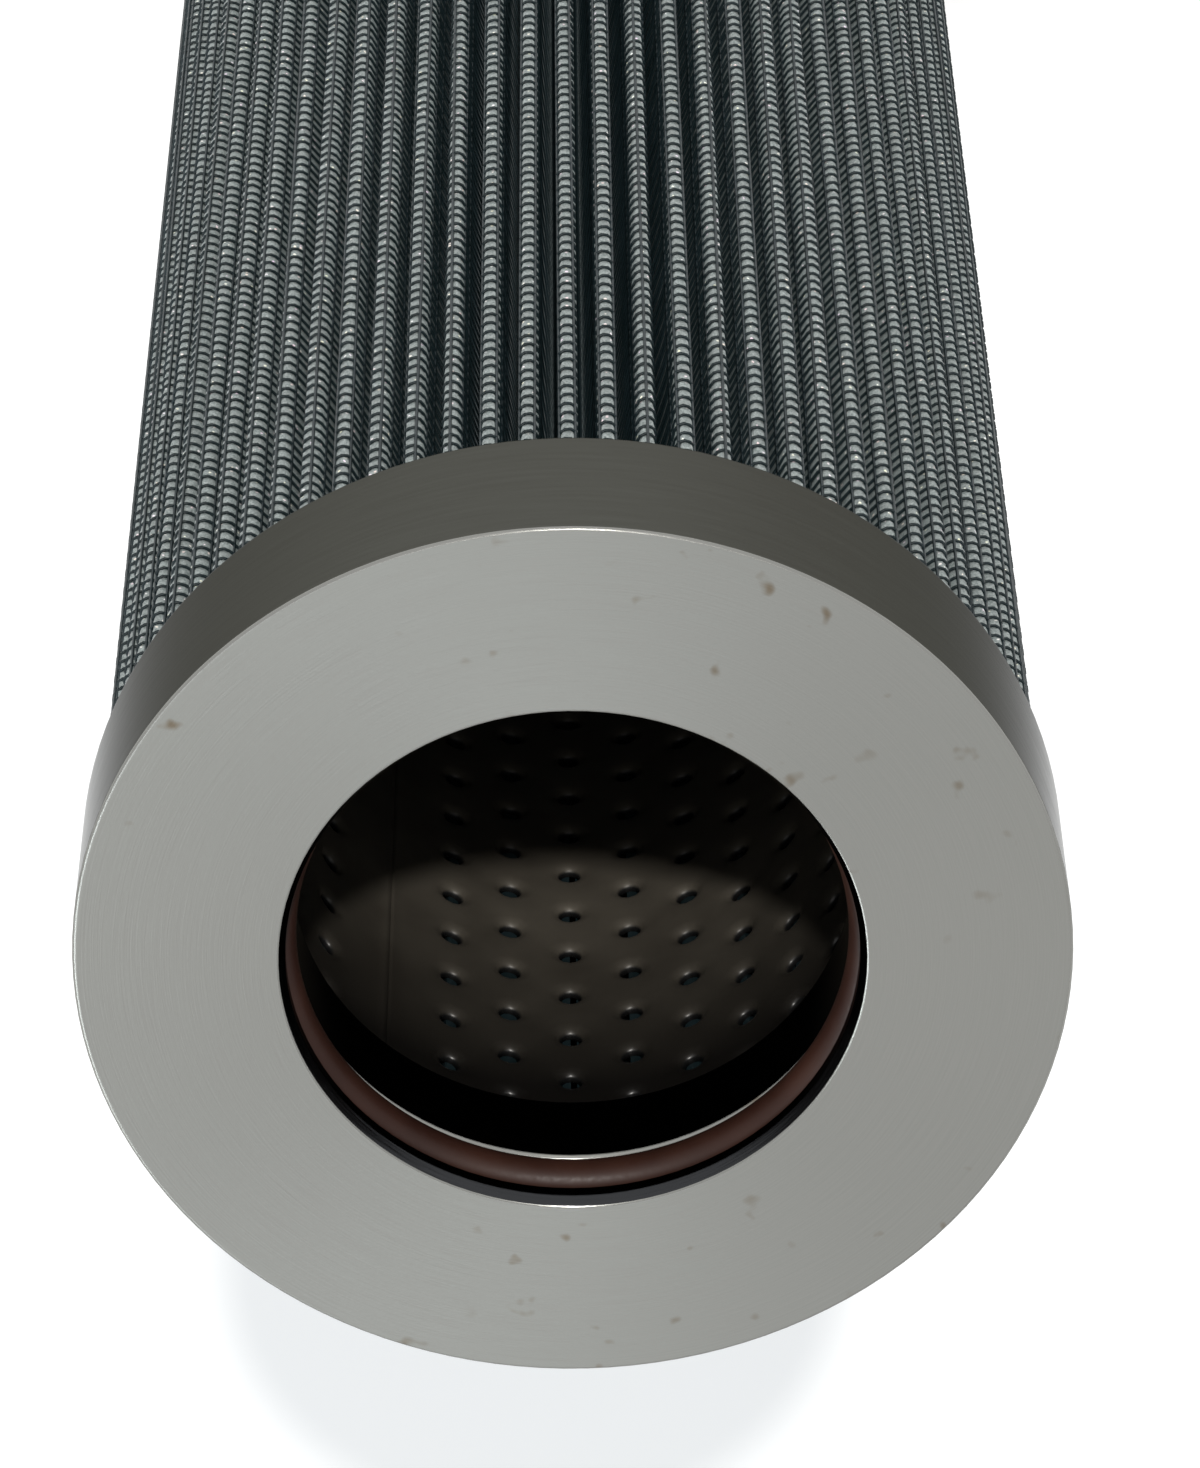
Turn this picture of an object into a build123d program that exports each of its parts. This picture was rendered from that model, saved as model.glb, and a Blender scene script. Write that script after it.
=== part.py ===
from build123d import *
import os
from math import cos, pi, sin

# A pleated return-line filter element, standing on its closed end cap.
# Two turned steel end caps grip a pleated pack of wire mesh, fleece and glass-fibre mat round a
# perforated core tube. The open cap has a bore with an O-ring that seals on the housing's spigot.
# Origin: centre of the closed cap's outer face. +Z runs up to the open face. Millimetres.

# ---- driving dimensions ----
element_diameter = 78.0
element_length = 210.0
cap_height = 14.1          # the rim of each cap, measured along the axis
cap_plate = 8.0            # the solid plate between a cap's outer face and its channel
skirt_wall = 0.9
edge_chamfer = 0.2

bore_radius = 22.44        # for a 44.45 mm spigot with its running clearance
mouth_radius = 22.98       # the bore's mouth, after its lead-in chamfer
mouth_depth = 0.9
groove_start = 1.9         # the O-ring groove, from the open face
groove_end = 6.3
groove_radius = 25.2
groove_edge = 0.25         # the broken edge behind the groove
cord_radius = 1.765        # a 3.53 mm O-ring cord
cord_facets = 12           # flats round the cord's section
ring_radius = 23.43        # the O-ring's mean radius
ring_depth = 4.3           # its middle, from the open face

core_inner = 26.2          # the core tube slides over the caps' hubs
core_wall = 0.9
hole_columns = 10          # perforations in the core tube, every other column staggered
hole_rows = 7
hole_size = 3.2
seam_angle = 47.3          # degrees from +X to the core tube's lengthwise joint
seam_width = 0.25
seam_depth = 0.3

pleats = 76
pack_radius = 37.8         # the circle through the crests
potting_depth = 2.0        # the bed of adhesive in each cap's channel
crest_gap = 0.2            # left inside each fold
valley_gap = 0.6           # left between neighbouring folds at the root
square_bend = 0.813        # a squared bend's corners, as a share of the fold's radius each way
first_crest = 263.3        # degrees from +X to the crest at the front
crest_points = 5           # corners round the outer face of each crest
outer_mesh_thickness = 0.25
media_thickness = 0.3      # glass-fibre mat laminated between two fleeces
inner_mesh_thickness = 0.2
seam_pleat = 38            # the valley, counted from the front crest, that holds the closing bead

# ---- derived ----
rim_radius = element_diameter / 2
skirt_inner = rim_radius - skirt_wall
core_outer = core_inner + core_wall
mat_thickness = outer_mesh_thickness + media_thickness + inner_mesh_thickness
half_step = pi / pleats
crest_centre = pack_radius - (crest_gap / 2 + mat_thickness)
root_centre = core_outer + square_bend * (valley_gap / 2 + mat_thickness)
pack_bottom = cap_plate + potting_depth
pack_height = element_length - 2 * pack_bottom
tube_height = element_length - 2 * cap_plate


def turned(points):
    """A solid of revolution about Z from (radius, height) points."""
    with BuildPart() as solid:
        with BuildSketch(Plane.XZ):
            with BuildLine():
                Polyline(*points, close=True)
            make_face()
        revolve(axis=Axis.Z)
    return solid.part


def open_end_cap():
    """Turned cap: rim, channel for the pack's end, hub for the core, and the grooved bore."""
    top = element_length

    def at(radius, depth):
        return (radius, top - depth)

    return turned([
        at(mouth_radius, 0),
        at(rim_radius - edge_chamfer, 0),
        at(rim_radius, edge_chamfer),
        at(rim_radius, cap_height),
        at(skirt_inner, cap_height),
        at(skirt_inner, cap_plate),
        at(core_inner, cap_plate),
        at(core_inner, cap_height),
        at(bore_radius, cap_height),
        at(bore_radius, groove_end + groove_edge),
        at(bore_radius + groove_edge, groove_end),
        at(groove_radius, groove_end),
        at(groove_radius, groove_start),
        at(bore_radius, groove_start),
        at(bore_radius, mouth_depth),
    ])


def closed_end_cap():
    """The same blank with no bore: a blind plate with the rim, the channel and a solid hub."""
    return turned([
        (0, 0),
        (rim_radius - edge_chamfer, 0),
        (rim_radius, edge_chamfer),
        (rim_radius, cap_height),
        (skirt_inner, cap_height),
        (skirt_inner, cap_plate),
        (core_inner, cap_plate),
        (core_inner, cap_height),
        (0, cap_height),
    ])


def bore_o_ring():
    """The O-ring, standing a little proud of the bore. Its cord has flats, to stay light."""
    middle = element_length - ring_depth
    corner = cord_radius / cos(pi / cord_facets)
    angles = [2 * pi * (k + 0.5) / cord_facets for k in range(cord_facets)]
    return turned([(ring_radius + corner * cos(a), middle + corner * sin(a)) for a in angles])


def potting(bottom):
    """The ring of adhesive that beds one end of the pack in its channel."""
    with BuildPart() as ring:
        with BuildSketch(Plane.XY.offset(bottom)):
            Circle(skirt_inner)
            Circle(core_outer, mode=Mode.SUBTRACT)
        extrude(amount=potting_depth)
    return ring.part


def hole_cutter(turn, height):
    """A square prism along the ray at an angle, to pierce the core tube once."""
    blank = Pos(core_inner + core_wall / 2, 0, height) * Box(core_wall + 2, hole_size, hole_size)
    return Rot(0, 0, turn) * blank


def core_tube():
    """Perforated sheet rolled into a tube, with its lengthwise joint in a plain band."""
    tube = Cylinder(core_outer, tube_height) - Cylinder(core_inner, tube_height)
    tube = Pos(0, 0, element_length / 2) * tube
    column_step = 360 / (hole_columns + 1)
    row_step = pack_height / (hole_rows + 1)
    cutters = []
    for column in range(hole_columns):
        turn = seam_angle + (column + 1) * column_step
        stagger = (column % 2 - 0.5) * row_step / 2
        for row in range(hole_rows):
            cutters.append(hole_cutter(turn, pack_bottom + (row + 1) * row_step + stagger))
    joint = Rot(0, 0, seam_angle) * Pos(core_inner, 0, element_length / 2)
    cutters.append(joint * Box(2 * seam_depth, seam_width, tube_height))
    return tube - cutters


def bend(radius, points):
    """(sideways, outward) points round a half turn of a fold; two points stand for a squared bend."""
    if points == 2:
        corner = square_bend * radius
        return [(-corner, corner), (corner, corner)]
    angles = [pi - pi * k / (points - 1) for k in range(points)]
    return [(radius * cos(a), radius * sin(a)) for a in angles]


def around(turn, radius, side):
    """The point at a radius and a sideways step from the ray at an angle."""
    return (radius * cos(turn) - side * sin(turn), radius * sin(turn) + side * cos(turn))


def crest_at(pleat, level, points):
    """The corners round one crest at a level in the mat: 0 is its inner face."""
    turn = first_crest * pi / 180 + 2 * half_step * pleat
    return [around(turn, crest_centre + out, side) for side, out in bend(crest_gap / 2 + level, points)]


def root_after(pleat, level):
    """The corners round the root between one crest and the next."""
    turn = first_crest * pi / 180 + 2 * half_step * (pleat + 0.5)
    folded = bend(valley_gap / 2 + mat_thickness - level, 2)
    return [around(turn, root_centre - out, side) for side, out in folded]


def pleated_layer(low, high, points=2):
    """One layer of the pleated mat between two levels, with a number of corners on its crests."""
    outer = [corner for n in range(pleats) for corner in crest_at(n, high, points) + root_after(n, high)]
    inner = [corner for n in range(pleats) for corner in crest_at(n, low, 2) + root_after(n, low)]
    section = Face(Wire.make_polygon(outer), [Wire.make_polygon(inner)])
    return extrude(Pos(0, 0, pack_bottom) * section, pack_height, dir=(0, 0, 1))


def side_seam():
    """The bead of adhesive that closes the pack along one valley, where the web's two ends meet."""
    here = crest_at(seam_pleat, mat_thickness, crest_points)[-1]
    after = crest_at(seam_pleat + 1, mat_thickness, crest_points)[0]
    valley = [here, *root_after(seam_pleat, mat_thickness), after]
    section = Face(Wire.make_polygon(valley))
    return extrude(Pos(0, 0, pack_bottom) * section, pack_height, dir=(0, 0, 1))


def main():
    os.makedirs("parts", exist_ok=True)
    media_level = inner_mesh_thickness
    outer_level = media_level + media_thickness
    nodes = {
        "open_end_cap": open_end_cap(),
        "closed_end_cap": closed_end_cap(),
        "bore_o_ring": bore_o_ring(),
        "core_tube": core_tube(),
        "inner_mesh": pleated_layer(0, media_level),
        "filter_media": pleated_layer(media_level, outer_level),
        "outer_mesh": pleated_layer(outer_level, mat_thickness, crest_points),
        "side_seam": side_seam(),
        "open_end_potting": potting(element_length - pack_bottom),
        "closed_end_potting": potting(cap_plate),
    }
    for name, part in nodes.items():
        export_step(part, f"parts/{name}.step")


main()
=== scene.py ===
import math
import random

import bpy
import numpy as np
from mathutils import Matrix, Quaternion, Vector

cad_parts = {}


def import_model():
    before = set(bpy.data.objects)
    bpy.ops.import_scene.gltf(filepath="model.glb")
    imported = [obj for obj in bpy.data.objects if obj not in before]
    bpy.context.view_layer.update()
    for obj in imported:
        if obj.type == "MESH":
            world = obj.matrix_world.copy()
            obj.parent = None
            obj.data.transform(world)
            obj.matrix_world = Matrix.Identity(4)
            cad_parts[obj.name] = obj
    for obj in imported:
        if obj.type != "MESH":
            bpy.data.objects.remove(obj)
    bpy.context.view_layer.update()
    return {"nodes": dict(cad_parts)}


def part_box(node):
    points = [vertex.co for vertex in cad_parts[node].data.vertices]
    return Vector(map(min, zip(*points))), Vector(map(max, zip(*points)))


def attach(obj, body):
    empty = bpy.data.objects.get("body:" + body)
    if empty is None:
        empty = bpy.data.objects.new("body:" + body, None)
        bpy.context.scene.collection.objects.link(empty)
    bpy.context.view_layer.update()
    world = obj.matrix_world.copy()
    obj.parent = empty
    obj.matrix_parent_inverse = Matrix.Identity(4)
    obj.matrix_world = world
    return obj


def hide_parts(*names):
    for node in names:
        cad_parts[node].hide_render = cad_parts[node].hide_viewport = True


# The looks of a pleated filter element that stands on its closed cap. Sizes are in millimetres here
# and turned into metres where vertices are made. Z is up, with the open cap's face at the top.

MM = 0.001
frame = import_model()
nodes = frame["nodes"]

# ---- sizes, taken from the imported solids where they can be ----
OPEN_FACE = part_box("open_end_cap")[1].z / MM
RIM_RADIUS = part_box("open_end_cap")[1].x / MM
PACK_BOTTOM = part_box("filter_media")[0].z / MM
PACK_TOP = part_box("filter_media")[1].z / MM
PACK_MIDDLE = (PACK_BOTTOM + PACK_TOP) / 2
PACK_HEIGHT = PACK_TOP - PACK_BOTTOM
TUBE_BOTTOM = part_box("core_tube")[0].z / MM
TUBE_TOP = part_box("core_tube")[1].z / MM
RING_MIDDLE = (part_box("bore_o_ring")[0].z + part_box("bore_o_ring")[1].z) / 2 / MM
CORD_RADIUS = 1.765         # the O-ring's cord
RING_RADIUS = 23.43         # the O-ring's mean radius
MOUTH_RADIUS = 22.98
EDGE_CHAMFER = 0.2
LIP_DEPTH = 6.42            # the broken edge behind the O-ring's groove, from the open face
CORE_INNER = 26.2
CORE_OUTER = 27.1
FRONT = math.radians(263.29)    # the front, as an angle round Z; the turned rings' pattern joins opposite it

# The folds. A surface or a wire is placed by its level, a radius round its crest's centre, and by
# its arc, the way along the web from the crest's top.
PLEATS = 76
FIRST_CREST = math.radians(263.3)
PLEAT_STEP = 2 * math.pi / PLEATS
CREST_CENTRE = 36.95
ROOT_CENTRE = 27.95
FLEECE_LEVEL = 0.60
PUFF = 0.20                 # how far the fleece swells out between the wires
PUFF_DEPTH = 2.2            # how far down a fold's sides it does so
MESH_LEVEL = 0.72
WIRE_RADIUS = 0.135
WIRE_PITCH = 1.46
WEAVE = 0.03                # how far a wire swings to either side as it weaves
LEG_SHOWN = 2.5             # how far down a fold's sides a wire is followed closely
QUARTER = math.pi / 2 * MESH_LEVEL
ROWS = int((PACK_HEIGHT - 2.0) / WIRE_PITCH) + 1

# The core tube's punched holes, in staggered columns. Depths are below the open face.
HOLE_COLUMNS = 31
COLUMN_STEP = math.radians(11.083)
SEAM_ANGLE = math.radians(47.3)
FIRST_COLUMN = math.radians(60.6)
ROW_PITCH = 6.42
TOP_ROW_DEPTH = 20.05
PLAIN_ENDS = 18.0           # the length of tube, both ends together, that has no holes
# The core sheet's painted shade near the open cap fades out between these two depths.
SHADE_FULL_DEPTH, SHADE_END_DEPTH = 22.0, 46.0     # the sheet grows paler between these depths
# (radius, depth into the sheet) of each ring of points, down the dished rim to the hole itself
HOLE_RINGS = ((1.95, 0.0), (1.5, 0.10), (1.05, 0.36), (0.72, 0.90))
CELL_POINTS = 12


# ---- mesh helpers ----
def mesh_object(name, vertices, faces):
    """A smooth mesh object from vertices in millimetres."""
    mesh = bpy.data.meshes.new(name)
    mesh.from_pydata((np.asarray(vertices, float) * MM).tolist(), [], np.asarray(faces).tolist())
    mesh.update()
    mesh.polygons.foreach_set("use_smooth", [True] * len(mesh.polygons))
    thing = bpy.data.objects.new(name, mesh)
    bpy.context.scene.collection.objects.link(thing)
    return thing


def finish_piece(thing, material, stands_for):
    """Gives a new piece its material and slot, and lets it ride in place of a CAD node."""
    thing.data.materials.append(material)
    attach(thing, "root")
    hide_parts(stands_for)


def polar(radius, angle, height):
    """The point at a radius and an angle round Z."""
    return (radius * math.cos(angle), radius * math.sin(angle), height)


def around(turn, radius, side):
    """(x, y) at a radius and a sideways step from the ray at an angle; arrays work too."""
    x = radius * np.cos(turn) - side * np.sin(turn)
    y = radius * np.sin(turn) + side * np.cos(turn)
    return np.stack([x, y], -1)


def grid_faces(rows, columns, closed=False):
    """Quads over a grid of vertices, row by row; closed joins each row's end to its start."""
    row, column = np.meshgrid(np.arange(rows - 1), np.arange(columns if closed else columns - 1),
                              indexing="ij")
    here, beside = row * columns + column, row * columns + (column + 1) % columns
    return np.stack([here, beside, beside + columns, here + columns], -1).reshape(-1, 4)


# ---- shader helpers ----
class Shader:
    """A material's node tree, with short calls for the nodes used here."""

    def __init__(self, name, **sockets):
        self.material = bpy.data.materials.new(name)
        self.material.use_nodes = True
        self.tree = self.material.node_tree
        self.principled = self.tree.nodes["Principled BSDF"]
        for socket, value in sockets.items():
            self.principled.inputs[socket.replace("_", " ")].default_value = value
        self.place = self.node("ShaderNodeTexCoord").outputs["Object"]

    def node(self, kind, **settings):
        made = self.tree.nodes.new(kind)
        for key, value in settings.items():
            setattr(made, key, value)
        return made

    def feed(self, socket, value):
        """Links an output to a socket, or sets the socket to a plain value."""
        if isinstance(value, bpy.types.NodeSocket):
            self.tree.links.new(value, socket)
        else:
            socket.default_value = value

    def math(self, operation, first, second=0.0):
        made = self.node("ShaderNodeMath", operation=operation)
        self.feed(made.inputs[0], first)
        self.feed(made.inputs[1], second)
        return made.outputs[0]

    def axes(self):
        """The object's X, Y and Z, in metres."""
        split = self.node("ShaderNodeSeparateXYZ")
        self.feed(split.inputs[0], self.place)
        return split.outputs

    def along(self, angle):
        """How far a point lies in a direction given as an angle round Z, in metres."""
        x, y, _ = self.axes()
        return self.math("ADD", self.math("MULTIPLY", x, math.cos(angle)),
                         self.math("MULTIPLY", y, math.sin(angle)))

    def from_axis(self):
        """The distance from the Z axis, in metres."""
        x, y, _ = self.axes()
        return self.math("SQRT", self.math("ADD", self.math("MULTIPLY", x, x), self.math("MULTIPLY", y, y)))

    def way_round(self):
        """The angle round Z, from 0 just past the back by way of 0.5 at the front to 1."""
        angle = self.math("ARCTAN2", self.along(FRONT + math.pi / 2), self.along(FRONT))
        return self.span(angle, -math.pi, math.pi)

    def noise(self, scale, detail=2.0, vector=None, roughness=0.5):
        made = self.node("ShaderNodeTexNoise")
        self.feed(made.inputs["Vector"], vector or self.place)
        made.inputs["Scale"].default_value = scale
        made.inputs["Detail"].default_value = detail
        made.inputs["Roughness"].default_value = roughness
        return made.outputs["Fac"]

    def ramp(self, value, *stops):
        """A colour ramp from (position, colour or grey) stops."""
        made = self.node("ShaderNodeValToRGB")
        elements = made.color_ramp.elements
        while len(elements) < len(stops):
            elements.new(0.5)
        for element, (position, colour) in zip(elements, stops):
            element.position = position
            grey = isinstance(colour, (int, float))
            element.color = (colour, colour, colour, 1) if grey else (*colour, 1)
        self.feed(made.inputs[0], value)
        return made.outputs[0]

    def span(self, value, low, high, to_low=0.0, to_high=1.0):
        """Maps low..high to to_low..to_high, clamped."""
        made = self.node("ShaderNodeMapRange")
        for socket, setting in zip(made.inputs, (value, low, high, to_low, to_high)):
            self.feed(socket, setting)
        return made.outputs[0]

    def mix(self, factor, first, second):
        made = self.node("ShaderNodeMix", data_type="RGBA")
        self.feed(made.inputs[0], factor)
        for socket, value in ((made.inputs[6], first), (made.inputs[7], second)):
            self.feed(socket, (*value, 1) if isinstance(value, tuple) else value)
        return made.outputs[2]

    def combine(self, x, y, z):
        made = self.node("ShaderNodeCombineXYZ")
        for socket, value in zip(made.inputs, (x, y, z)):
            self.feed(socket, value)
        return made.outputs[0]

    def bevel(self, radius_mm):
        """The normal as if every sharp edge were rounded."""
        made = self.node("ShaderNodeBevel", samples=6)
        made.inputs["Radius"].default_value = radius_mm * MM
        return made.outputs[0]

    def bump(self, height, strength, distance_mm, normal=None):
        made = self.node("ShaderNodeBump")
        made.inputs["Strength"].default_value = strength
        made.inputs["Distance"].default_value = distance_mm * MM
        self.feed(made.inputs["Height"], height)
        if normal:
            self.feed(made.inputs["Normal"], normal)
        return made.outputs[0]

    def set(self, **sockets):
        for socket, value in sockets.items():
            self.feed(self.principled.inputs[socket.replace("_", " ")], value)
        return self.material


# ---- materials ----
# The base colour of each part of the cap steel, the same all the way round. The rim wall's and the bore's
# dark colours are painted shade.
FACE_STEEL = (0.36, 0.36, 0.34)
# The rim wall's dark base colour is painted shade.
WALL_PAINTED_SHADE = (0.095, 0.095, 0.085)
EDGE_STEEL = (0.36, 0.36, 0.34)
# The bore's near-black base colour is painted shade.
BORE_PAINTED_SHADE = (0.06, 0.062, 0.066)


def turned_steel():
    """Fine-turned cap steel with small brown specks, and painted shade on the rim wall and in the bore."""
    steel = Shader("turned_steel", Metallic=1.0, Anisotropic=0.4, Specular_Tint=(0.4, 0.4, 0.4, 1.0))
    radius, way = steel.from_axis(), steel.way_round()
    height = steel.axes()[2]
    along_wall, along_ring = steel.math("MULTIPLY", height, 0.3), steel.math("MULTIPLY", way, 0.004)
    rings = steel.noise(7000.0, 3.0, steel.combine(radius, along_wall, along_ring))
    specks = steel.ramp(steel.noise(300.0, 2.0), (0.66, 0.0), (0.74, 1.0))
    speck_areas = steel.ramp(steel.noise(45.0, 2.0), (0.47, 0.0), (0.60, 1.0))
    face = steel.mix(steel.span(steel.noise(38.0, 4.0), 0.3, 0.7, 0.0, 0.12), FACE_STEEL, (0.30, 0.31, 0.28))
    face = steel.mix(steel.span(rings, 0.35, 0.65, 0.0, 0.22), face, (0.20, 0.205, 0.19))
    face = steel.mix(steel.math("MULTIPLY", specks, speck_areas), face, (0.215, 0.18, 0.135))
    # Painted shade: the rim wall's dark colour, with faint turning rings.
    wall = steel.mix(steel.span(rings, 0.3, 0.7, 0.0, 0.3), WALL_PAINTED_SHADE, (0.07, 0.068, 0.06))
    on_wall = steel.math("GREATER_THAN", radius, (RIM_RADIUS - 0.02) * MM)
    on_chamfer = steel.math("GREATER_THAN", radius, (RIM_RADIUS - EDGE_CHAMFER - 0.01) * MM)
    below_face = steel.math("LESS_THAN", height, (OPEN_FACE - 0.03) * MM)
    in_bore = steel.math("LESS_THAN", radius, (CORE_OUTER + 0.2) * MM)
    from_lip = steel.math("ABSOLUTE", steel.math("SUBTRACT", height, (OPEN_FACE - LIP_DEPTH) * MM))
    off_lip = steel.math("GREATER_THAN", from_lip, 0.16 * MM)
    deep = steel.math("LESS_THAN", height, (OPEN_FACE - 1.5) * MM)
    off_mouth = steel.math("LESS_THAN", radius, (MOUTH_RADIUS - 0.05) * MM)
    # Painted shade: cap steel inside the core's outer radius and below the open face is made near-black, the
    # blind cap's outer face too, all but the lip behind the groove and the mouth's edge.
    bore_shade_mask = steel.math("MULTIPLY", steel.math("MULTIPLY", below_face, in_bore), off_lip)
    bore_shade_mask = steel.math("MULTIPLY", bore_shade_mask, steel.math("MAXIMUM", off_mouth, deep))
    colour = steel.mix(on_chamfer, face, EDGE_STEEL)
    colour = steel.mix(on_wall, colour, wall)
    colour = steel.mix(bore_shade_mask, colour, BORE_PAINTED_SHADE)
    shiny = steel.math("MAXIMUM", on_chamfer, steel.math("LESS_THAN", radius, (MOUTH_RADIUS + 0.1) * MM))
    rough = steel.span(rings, 0.3, 0.7, 0.30, 0.42)
    rough = steel.math("MULTIPLY", rough, steel.span(shiny, 0.0, 1.0, 1.0, 0.5))
    tangent = steel.node("ShaderNodeTangent", direction_type="RADIAL", axis="Z").outputs[0]
    return steel.set(Base_Color=colour, Roughness=rough, Tangent=tangent,
                     Normal=steel.bump(rings, 0.35, 0.02, steel.bevel(0.2)))


def core_sheet():
    """Dull dark sheet steel, with painted shade near the open cap and in its holes."""
    sheet = Shader("core_sheet", Metallic=0.25, Specular_IOR_Level=0.6)
    height = sheet.axes()[2]
    # Painted shade: the sheet is near-black near the open cap and grows paler deeper in.
    past_shade = sheet.span(height, (OPEN_FACE - SHADE_FULL_DEPTH) * MM, (OPEN_FACE - SHADE_END_DEPTH) * MM)
    cloud = sheet.span(sheet.noise(140.0, 3.0), 0.3, 0.7)
    colour = sheet.mix(cloud, (0.075, 0.066, 0.052), (0.11, 0.098, 0.078))
    colour = sheet.mix(past_shade, (0.010, 0.009, 0.008), colour)
    # Painted shade in the walls of the punched holes.
    hole = sheet.span(sheet.from_axis(), (CORE_INNER + 0.35) * MM, (CORE_INNER + 0.6) * MM)
    colour = sheet.mix(hole, colour, (0.008, 0.008, 0.008))
    return sheet.set(Base_Color=colour, Roughness=sheet.span(past_shade, 0.0, 1.0, 0.33, 0.5),
                     Normal=sheet.bump(cloud, 0.15, 0.15))


def fluoro_rubber():
    """Brown O-ring rubber with a satin skin."""
    rubber = Shader("fluoro_rubber", Specular_IOR_Level=0.25)
    grain = rubber.noise(2600.0, 3.0)
    cloud = rubber.noise(160.0, 2.0)
    colour = rubber.mix(rubber.span(cloud, 0.3, 0.7), (0.024, 0.009, 0.006), (0.037, 0.0145, 0.0095))
    return rubber.set(Base_Color=colour, Roughness=rubber.span(grain, 0.3, 0.7, 0.40, 0.52),
                      Normal=rubber.bump(grain, 0.2, 0.02))


def coated_wire():
    """Steel wire under a dark blue-green epoxy coat."""
    wire = Shader("coated_wire", Roughness=0.45, Specular_IOR_Level=0.35)
    cloud = wire.noise(300.0, 2.0)
    colour = wire.mix(wire.span(cloud, 0.3, 0.7), (0.005, 0.012, 0.014), (0.010, 0.020, 0.024))
    return wire.set(Base_Color=colour, Normal=wire.bump(wire.noise(5000.0, 1.0), 0.25, 0.02))


def fleece():
    """Pale spun fleece over the glass mat, with shiny specks given a painted glint, and painted shade down
    in the folds and beside the wires.
    """
    mat = Shader("fleece")
    fibres = mat.noise(5200.0, 4.0, roughness=0.7)
    cloud = mat.noise(700.0, 3.0)
    colour = mat.mix(mat.span(fibres, 0.35, 0.65), (0.13, 0.163, 0.162), (0.405, 0.455, 0.448))
    colour = mat.mix(mat.span(cloud, 0.35, 0.65, 0.0, 0.4), colour, (0.17, 0.18, 0.175))
    cells = mat.node("ShaderNodeTexVoronoi")
    mat.feed(cells.inputs["Vector"], mat.place)
    cells.inputs["Scale"].default_value = 2300.0
    chance = mat.node("ShaderNodeSeparateColor")
    mat.feed(chance.inputs[0], cells.outputs["Color"])
    # Shiny specks: their low roughness is real gloss, their near-white colour is a painted glint.
    glint = mat.math("MULTIPLY",
                     mat.math("GREATER_THAN", chance.outputs[0], 0.85),
                     mat.math("LESS_THAN", cells.outputs["Distance"], 0.30))
    tint = mat.mix(0.25, (0.95, 1.0, 0.95), cells.outputs["Color"])
    colour = mat.mix(glint, colour, tint)
    # Painted shade: the fleece darkens towards each wire, where its cushions dip.
    puff_shade = mat.node("ShaderNodeAttribute", attribute_name="puff").outputs["Fac"]
    colour = mat.mix(mat.span(puff_shade, 0.0, 0.8, 0.75, 0.0), colour, (0.02, 0.03, 0.032))
    # Painted shade: the fleece darkens down each fold's sides, between the folds.
    out_of_fold_shade = mat.span(mat.from_axis(), (CREST_CENTRE - 4.0) * MM, (CREST_CENTRE + 0.3) * MM)
    colour = mat.mix(out_of_fold_shade, (0.115, 0.145, 0.15), colour)
    rough = mat.mix(glint, mat.span(fibres, 0.35, 0.65, 0.6, 0.32), (0.15, 0.15, 0.15))
    return mat.set(Base_Color=colour, Roughness=rough, Normal=mat.bump(fibres, 0.7, 0.06))


def adhesive():
    """Cured two-part adhesive, cream and slightly glossy."""
    glue = Shader("adhesive", Roughness=0.35)
    cloud = glue.noise(220.0, 3.0)
    colour = glue.mix(glue.span(cloud, 0.3, 0.7), (0.42, 0.36, 0.24), (0.52, 0.46, 0.33))
    return glue.set(Base_Color=colour, Normal=glue.bump(cloud, 0.3, 0.2))


# ---- the pleated pack ----
def fold_point(arc, level):
    """(radius, sideways) on a fold at an arc and a level; arrays work too."""
    angle = np.clip(arc, -QUARTER, QUARTER) / MESH_LEVEL
    down_the_leg = np.maximum(np.abs(arc) - QUARTER, 0.0)
    return CREST_CENTRE + level * np.cos(angle) - down_the_leg, level * np.sin(angle)


PLEAT_TURNS = FIRST_CREST + PLEAT_STEP * np.arange(PLEATS)
phases = random.Random(8)
WIRE_START = np.array([phases.uniform(-0.5, 0.5) * WIRE_PITCH for _ in range(PLEATS)])
WIRE_DRIFT = np.array([phases.uniform(-0.9, 0.9) for _ in range(PLEATS)])
ROW_HEIGHTS = np.array([PACK_BOTTOM + 1.0 + WIRE_PITCH * row + phases.uniform(-0.07, 0.07)
                        for row in range(ROWS)])


def wire_arc(height):
    """The arc at which a lengthwise wire crosses each pleat at a height; it drifts along the pack."""
    return WIRE_START + WIRE_DRIFT * (height - PACK_MIDDLE) / PACK_HEIGHT


def shade_by_puff(piece, swell):
    """Stores how far each vertex swells, from 0 at a wire to 1, for the fleece's painted shade beside the
    wires.
    """
    piece.data.attributes.new("puff", "FLOAT", "POINT").data.foreach_set("value", swell)


def pleated_mat(material):
    """The plain pleated web, from end to end of the pack."""
    root_radius = ROOT_CENTRE * math.tan(PLEAT_STEP / 2) - FLEECE_LEVEL
    arcs = np.linspace(-QUARTER, QUARTER, 7)
    fold = np.stack(fold_point(arcs, FLEECE_LEVEL), -1)
    bends = np.linspace(0, math.pi, 5)
    outline = []
    for turn in PLEAT_TURNS:
        outline.append(around(turn, fold[:, 0], fold[:, 1]))
        outline.append(around(turn + PLEAT_STEP / 2, ROOT_CENTRE - root_radius * np.sin(bends),
                              -root_radius * np.cos(bends)))
    outline = np.concatenate(outline)
    rings = [np.hstack([outline, np.full((len(outline), 1), z)]) for z in (PACK_BOTTOM, PACK_TOP)]
    piece = mesh_object("pleated_mat", np.concatenate(rings), grid_faces(2, len(outline), closed=True))
    # A fixed swell, so the plain web gets a little of the painted shade beside the wires.
    shade_by_puff(piece, np.full(2 * len(outline), 0.6))
    finish_piece(piece, material, "filter_media")


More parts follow.
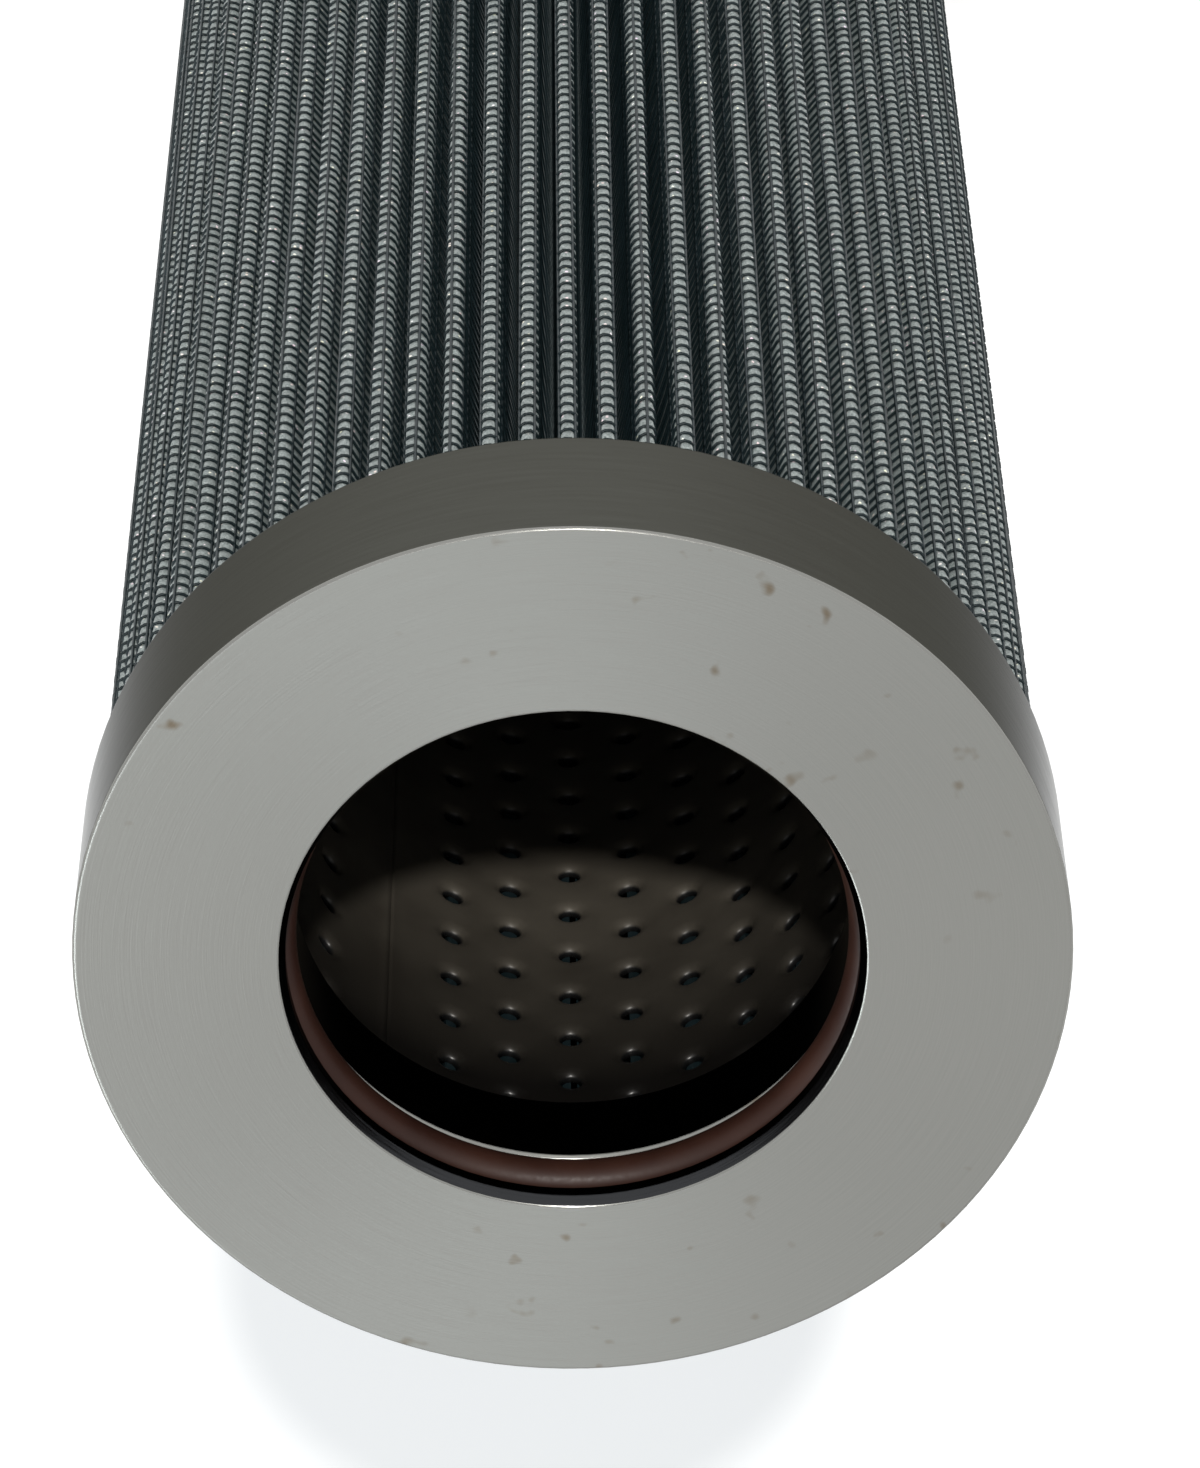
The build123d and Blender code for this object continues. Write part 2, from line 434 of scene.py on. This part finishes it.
def puffed_fleece(name, pleats, material):
    """The fleece over some crests, swelling out in a cushion between one wire and the next."""
    edge = QUARTER + PUFF_DEPTH
    arcs = np.array([-edge, -QUARTER, -0.35 * QUARTER, 0.35 * QUARTER, QUARTER, edge])
    tucked = np.array([0.2, 1, 1, 1, 1, 0.2])
    between = np.diff(ROW_HEIGHTS)[:, None] * np.array([0, 1, 2]) / 3
    heights = (ROW_HEIGHTS[:-1, None] + between).reshape(-1)
    swell = np.tile([0.0, 1.0, 1.0], len(ROW_HEIGHTS) - 1)
    vertices, faces = [], []
    for pleat in pleats:
        from_wire = (arcs[None, :] - wire_arc(heights[:, None])[:, [pleat]]) / WIRE_PITCH
        crown = 0.35 + 0.65 * np.abs(np.sin(math.pi * from_wire))
        level = FLEECE_LEVEL - 0.01 + PUFF * swell[:, None] * crown * tucked
        radius, side = fold_point(arcs[None, :], level)
        flat = around(PLEAT_TURNS[pleat], radius, side)
        tall = np.broadcast_to(heights[:, None, None], (*flat.shape[:2], 1))
        faces.append(grid_faces(*flat.shape[:2]) + len(vertices) * flat.shape[0] * flat.shape[1])
        vertices.append(np.concatenate([flat, tall], -1).reshape(-1, 3))
    piece = mesh_object(name, np.concatenate(vertices), np.concatenate(faces))
    shade_by_puff(piece, np.tile(np.repeat(swell, len(arcs)), len(pleats)))
    finish_piece(piece, material, "filter_media")


def ring_path(row):
    """The middle line of one wire round the pack, woven over and under the lengthwise wires."""
    arcs = QUARTER * np.array([0, -1, -0.6, -0.2, 0.2, 0.6, 1, 0])
    arcs[0], arcs[-1] = -QUARTER - LEG_SHOWN, QUARTER + LEG_SHOWN
    pleat = np.arange(PLEATS)[:, None]
    from_wire = (arcs[None, :] - wire_arc(ROW_HEIGHTS[row])[:, None]) / WIRE_PITCH
    level = MESH_LEVEL + WEAVE * np.cos(math.pi * (from_wire + row + pleat))
    radius, side = fold_point(arcs[None, :], level)
    crests = around(PLEAT_TURNS[:, None], radius, side)
    roots = around(PLEAT_TURNS[:, None] + PLEAT_STEP / 2, ROOT_CENTRE, np.zeros((PLEATS, 1)))
    return np.concatenate([crests, roots], 1).reshape(-1, 2)


def ring_tube(path, height, sides=3):
    """Vertices, side by side, of a closed wire that lies level at a height."""
    ahead = np.roll(path, -1, 0) - np.roll(path, 1, 0)
    ahead /= np.linalg.norm(ahead, axis=1, keepdims=True)
    outward = np.stack([ahead[:, 1], -ahead[:, 0]], 1)
    lines = []
    for side in range(sides + 1):
        angle = 2 * math.pi * side / sides
        level = np.full((len(path), 1), height + WIRE_RADIUS * math.sin(angle))
        lines.append(np.hstack([path + outward * WIRE_RADIUS * math.cos(angle), level]))
    return lines[:sides]


def ring_wires(name, rows, material):
    """The wires round the pack for some rows, as one piece."""
    vertices, faces = [], []
    for row in rows:
        lines = ring_tube(ring_path(row), ROW_HEIGHTS[row])
        count = len(lines[0])
        sheet = grid_faces(len(lines) + 1, count, closed=True) % (len(lines) * count)
        faces.append(sheet + len(vertices) * count)
        vertices += lines
    piece = mesh_object(name, np.concatenate(vertices), np.concatenate(faces))
    finish_piece(piece, material, "outer_mesh")


def lengthwise_wires(material, sides=6, stations=6):
    """The wires along the crests."""
    vertices, faces = [], []
    turns = 2 * math.pi * np.arange(sides) / sides
    heights = np.linspace(PACK_BOTTOM, PACK_TOP, stations)
    for pleat in range(PLEATS):
        for wire in (-2, -1, 0, 1, 2):
            rings = []
            for height in heights:
                arc = wire_arc(height)[pleat] + wire * WIRE_PITCH
                radius, side = fold_point(arc, MESH_LEVEL)
                flat = around(PLEAT_TURNS[pleat], radius + WIRE_RADIUS * np.cos(turns),
                              side + WIRE_RADIUS * np.sin(turns))
                rings.append(np.hstack([flat, np.full((sides, 1), height)]))
            faces.append(grid_faces(stations, sides, closed=True) + len(vertices) * sides * stations)
            vertices.append(np.concatenate(rings))
    piece = mesh_object("lengthwise_wires", np.concatenate(vertices), np.concatenate(faces))
    finish_piece(piece, material, "outer_mesh")


def shares(count, pieces):
    """Splits a range into even runs."""
    return [range(count * n // pieces, count * (n + 1) // pieces) for n in range(pieces)]


def pleated_pack(mat, wire):
    """The web, its fleece and every wire of the outer mesh."""
    pleated_mat(mat)
    for n, pleats in enumerate(shares(PLEATS, 2), 1):
        puffed_fleece(f"puffed_fleece_{n}", pleats, mat)
    for n, rows in enumerate(shares(ROWS, 4), 1):
        ring_wires(f"ring_wires_{n}", rows, wire)
    lengthwise_wires(wire)


# ---- the O-ring and the core ----
def o_ring(material):
    """The O-ring, round and smooth."""
    ways, corners = 160, 28
    cord = 2 * math.pi * np.arange(corners) / corners
    rings = []
    for turn in 2 * math.pi * np.arange(ways + 1) / ways:
        flat = around(turn, RING_RADIUS + CORD_RADIUS * np.cos(cord), np.zeros(corners))
        rings.append(np.hstack([flat, (RING_MIDDLE + CORD_RADIUS * np.sin(cord))[:, None]]))
    faces = grid_faces(ways + 1, corners, closed=True) % (ways * corners)
    piece = mesh_object("bore_seal", np.concatenate(rings[:ways]), faces)
    finish_piece(piece, material, "bore_o_ring")


def hole_cell(half_width, half_height):
    """(sideways, up, outward) vertices of one hole's cell: its border, its rings, its outer border."""
    step = half_width / 2
    right = [(half_width, 0.0), (half_width, half_height), (step, half_height)]
    left = [(-step, half_height), (-half_width, half_height), (-half_width, 0.0)]
    border = [*right, (0.0, half_height), *left]
    border += [(-side, -up) for side, up in border[1:-1]]
    cell = [(side, up, 0.0) for side, up in border]
    for radius, depth in HOLE_RINGS:
        angles = 2 * math.pi * np.arange(CELL_POINTS) / CELL_POINTS
        cell += [(radius * math.cos(angle), radius * math.sin(angle), depth) for angle in angles]
    cell += [(side, up, CORE_OUTER - CORE_INNER) for side, up in border]
    return np.array(cell)


class Builder:
    """Vertices and quads gathered from many parts."""

    def __init__(self):
        self.vertices, self.faces, self.count = [], [], 0

    def add(self, vertices, faces):
        self.vertices.append(np.asarray(vertices, float))
        self.faces.append(np.asarray(faces) + self.count)
        self.count += len(vertices)

    def band(self, angles, radii, low, high):
        """A strip of tube wall between two heights."""
        rings = [[polar(r, a, h) for a, r in zip(angles, radii)] for h in (low, high)]
        self.add(rings[0] + rings[1], grid_faces(2, len(angles)))

    def sheet(self, angles, low, high):
        """Both sides of a plain strip of the core's sheet."""
        self.band(angles, [CORE_INNER] * len(angles), low, high)
        self.band(angles[::-1], [CORE_OUTER] * len(angles), low, high)


def core_tube(material):
    """The core tube: perforated sheet, with its lengthwise joint in a plain strip."""
    half_width = CORE_INNER * COLUMN_STEP / 2
    half_height = ROW_PITCH / 2
    cell = hole_cell(half_width, half_height)
    cell_quads = grid_faces(len(HOLE_RINGS) + 2, CELL_POINTS, closed=True)
    rows = int((TUBE_TOP - TUBE_BOTTOM - PLAIN_ENDS) / ROW_PITCH)
    wall = Builder()
    for column in range(HOLE_COLUMNS):
        turn = FIRST_COLUMN + COLUMN_STEP * column
        top_row = OPEN_FACE - TOP_ROW_DEPTH - ((column + 1) % 2) * half_height
        angles, radii = turn + cell[:, 0] / CORE_INNER, CORE_INNER + cell[:, 2]
        flat = np.stack([radii * np.cos(angles), radii * np.sin(angles)], 1)
        for row in range(rows):
            wall.add(np.hstack([flat, (top_row - row * ROW_PITCH + cell[:, 1])[:, None]]), cell_quads)
        edges = np.linspace(-half_width, half_width, 5) / CORE_INNER + turn
        wall.sheet(edges, top_row + half_height, TUBE_TOP)
        wall.sheet(edges, TUBE_BOTTOM, top_row - (rows - 0.5) * ROW_PITCH)
    last = FIRST_COLUMN + COLUMN_STEP * (HOLE_COLUMNS - 0.5) - 2 * math.pi
    first = FIRST_COLUMN - COLUMN_STEP / 2
    lip, gap = 0.45 / CORE_INNER, 0.12 / CORE_INNER
    joint = [SEAM_ANGLE - gap, SEAM_ANGLE - gap, SEAM_ANGLE + gap, SEAM_ANGLE + gap]
    joint_radii = [CORE_INNER - 0.22, CORE_INNER + 0.35, CORE_INNER + 0.35, CORE_INNER - 0.08]
    angles = [*np.linspace(last, SEAM_ANGLE - lip, 5), *joint, *np.linspace(SEAM_ANGLE + lip, first, 5)]
    wall.band(angles, [CORE_INNER] * 5 + joint_radii + [CORE_INNER] * 5, TUBE_BOTTOM, TUBE_TOP)
    wall.band(np.linspace(first, last, 9), [CORE_OUTER] * 9, TUBE_BOTTOM, TUBE_TOP)
    piece = mesh_object("pierced_core", np.concatenate(wall.vertices), np.concatenate(wall.faces))
    finish_piece(piece, material, "core_tube")


def dress(node, material):
    """Gives a CAD node its finish."""
    thing = nodes[node]
    thing.data.materials.clear()
    thing.data.materials.append(material)


# ---- stage ----
def ray_mix(tree, first, second):
    """Mixes two shaders: the second is what the camera and mirror-like surfaces see."""
    path = tree.nodes.new("ShaderNodeLightPath")
    seen = tree.nodes.new("ShaderNodeMath")
    seen.operation = "MAXIMUM"
    tree.links.new(path.outputs["Is Camera Ray"], seen.inputs[0])
    tree.links.new(path.outputs["Is Glossy Ray"], seen.inputs[1])
    either = tree.nodes.new("ShaderNodeMath")
    either.operation = "MAXIMUM"
    tree.links.new(seen.outputs[0], either.inputs[0])
    tree.links.new(path.outputs["Is Transmission Ray"], either.inputs[1])
    mixed = tree.nodes.new("ShaderNodeMixShader")
    tree.links.new(either.outputs[0], mixed.inputs[0])
    tree.links.new(first, mixed.inputs[1])
    tree.links.new(second, mixed.inputs[2])
    return mixed.outputs[0]


def floor():
    """A pale floor that the camera sees as nearly white, still with the object's shadow."""
    bpy.ops.mesh.primitive_plane_add(size=6.0, location=(0, 0, -0.1 * MM))
    plane = bpy.context.active_object
    plane.name = "floor"
    material = bpy.data.materials.new("floor_paper")
    material.use_nodes = True
    tree = material.node_tree
    paper = tree.nodes["Principled BSDF"]
    paper.inputs["Base Color"].default_value = (0.8, 0.8, 0.8, 1)
    paper.inputs["Roughness"].default_value = 0.9
    glow = tree.nodes.new("ShaderNodeEmission")
    glow.inputs["Strength"].default_value = 0.2
    both = tree.nodes.new("ShaderNodeAddShader")
    tree.links.new(paper.outputs[0], both.inputs[0])
    tree.links.new(glow.outputs[0], both.inputs[1])
    seen = ray_mix(tree, paper.outputs[0], both.outputs[0])
    tree.links.new(seen, tree.nodes["Material Output"].inputs["Surface"])
    plane.data.materials.append(material)


def world():
    """A soft even surround: grey as light, white where it is seen."""
    made = bpy.data.worlds.new("surround")
    bpy.context.scene.world = made
    made.use_nodes = True
    tree = made.node_tree
    light = tree.nodes["Background"]
    light.inputs["Color"].default_value = (0.97, 0.985, 1.0, 1)
    light.inputs["Strength"].default_value = 0.55
    white = tree.nodes.new("ShaderNodeBackground")
    white.inputs["Strength"].default_value = 0.95
    seen = ray_mix(tree, light.outputs[0], white.outputs[0])
    tree.links.new(seen, tree.nodes["World Output"].inputs["Surface"])


def lamp(name, kind, place, target, energy, colour, size):
    """A lamp that points at a place; places are in millimetres, and a sun's size is in degrees."""
    data = bpy.data.lights.new(name, kind)
    data.energy = energy
    data.color = colour
    if kind == "AREA":
        data.shape = "DISK"
        data.size = size
    if kind == "SUN":
        data.angle = math.radians(size)
    thing = bpy.data.objects.new(name, data)
    bpy.context.scene.collection.objects.link(thing)
    thing.location = Vector(place) * MM
    aim = (Vector(target) - Vector(place)).to_track_quat("-Z", "Y")
    thing.rotation_euler = aim.to_euler()


def lamps():
    """A key from the front at the height that lights the bore's far wall, and a soft fill."""
    mouth = (0, 0, OPEN_FACE)
    key_height = math.radians(49.7)
    key = (-95, -1000 * math.cos(key_height), OPEN_FACE + 1000 * math.sin(key_height))
    lamp("key", "SUN", key, mouth, 2.2, (1.0, 0.97, 0.93), 2.5)
    lamp("fill", "AREA", (700, 500, OPEN_FACE + 700), mouth, 6.0, (0.90, 0.97, 1.0), 0.7)


def camera():
    """The camera, in front, looking down, and held upside down."""
    data = bpy.data.cameras.new("camera")
    data.sensor_width = 36.0
    data.lens = 168.1
    data.shift_x = 0.0068
    data.clip_start = 0.01
    thing = bpy.data.objects.new("camera", data)
    bpy.context.scene.collection.objects.link(thing)
    place = Vector((-33.8, -287.6, OPEN_FACE + 449.2))
    target = Vector((-3.9, -20.6, OPEN_FACE))
    aim = (target - place).to_track_quat("-Z", "Y")
    thing.rotation_mode = "QUATERNION"
    thing.rotation_quaternion = aim @ Quaternion((0, 0, 1), math.radians(179.2))
    thing.location = place * MM
    bpy.context.scene.camera = thing


def build():
    """The whole scene: the stage, the CAD nodes' finishes and the new pieces."""
    camera()
    world()
    lamps()
    floor()
    steel, wire, glue = turned_steel(), coated_wire(), adhesive()
    for node in ("open_end_cap", "closed_end_cap"):
        dress(node, steel)
    for node in ("side_seam", "open_end_potting", "closed_end_potting"):
        dress(node, glue)
    dress("inner_mesh", wire)
    pleated_pack(fleece(), wire)
    core_tube(core_sheet())
    o_ring(fluoro_rubber())
    bpy.context.scene.view_settings.view_transform = "Standard"


build()
